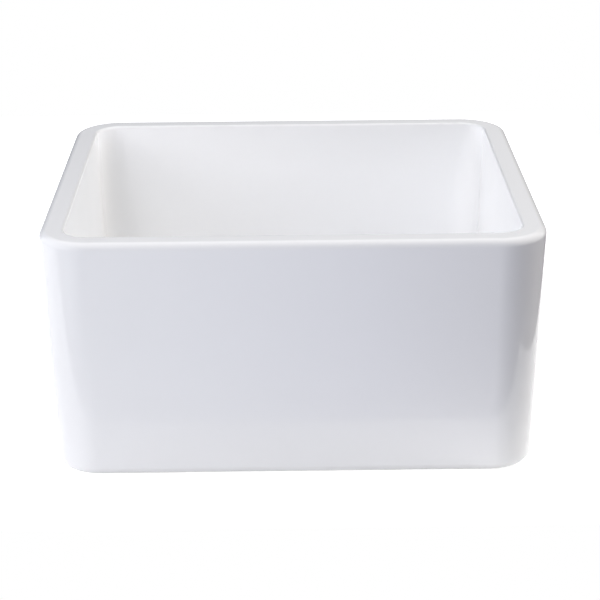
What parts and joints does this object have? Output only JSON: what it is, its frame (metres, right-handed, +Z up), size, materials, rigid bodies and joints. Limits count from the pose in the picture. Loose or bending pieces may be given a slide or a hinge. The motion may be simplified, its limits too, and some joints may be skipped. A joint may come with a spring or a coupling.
{
  "type": "farmhouse apron front sink",
  "caption": "Rectangular fireclay kitchen sink with a plain apron front, a flat rim, a floor that falls to a central drain, and a lift-out basket strainer waste.",
  "frame": {"origin": "centre of the foot's resting face, on the drain's axis", "axes": "+X to the right along the apron, +Y from the apron to the back, +Z up out of the bowl"},
  "size_m": [0.5074, 0.4564, 0.3171],
  "materials": {
    "white_glaze": "high gloss white glaze on fireclay",
    "polished_steel": "polished stainless steel",
    "satin_steel": "satin stainless steel",
    "spring_steel": "plain spring steel",
    "black_rubber": "matt black rubber",
    "sealing_foam": "soft closed-cell seal",
    "grey_card": "pressed fibre card",
    "plain_brass": "cast and turned brass"
  },
  "bodies": {
    "sink": {"sink_bowl": "white_glaze", "flange_seal": "sealing_foam", "strainer_body": "polished_steel", "post_socket": "satin_steel", "under_gasket": "black_rubber", "friction_ring": "grey_card", "locknut": "plain_brass", "outlet_washer": "black_rubber", "coupling_nut": "plain_brass"},
    "clip": {"snap_clip": "spring_steel"},
    "basket": {"basket_cup": "polished_steel", "stopper_seal": "black_rubber", "seal_backing_washer": "satin_steel", "seal_nut": "satin_steel", "basket_post": "satin_steel", "basket_knob": "polished_steel"}
  },
  "joints": [
    {"name": "basket_lift", "type": "slide", "parent": "sink", "child": "clip", "axis": [0, 0, 1], "range_m": [0, 0.3]},
    {"name": "basket_spin", "type": "hinge", "parent": "clip", "child": "basket", "pos_m": [0, 0, 0], "axis": [0, 0, 1], "continuous": true}
  ]
}
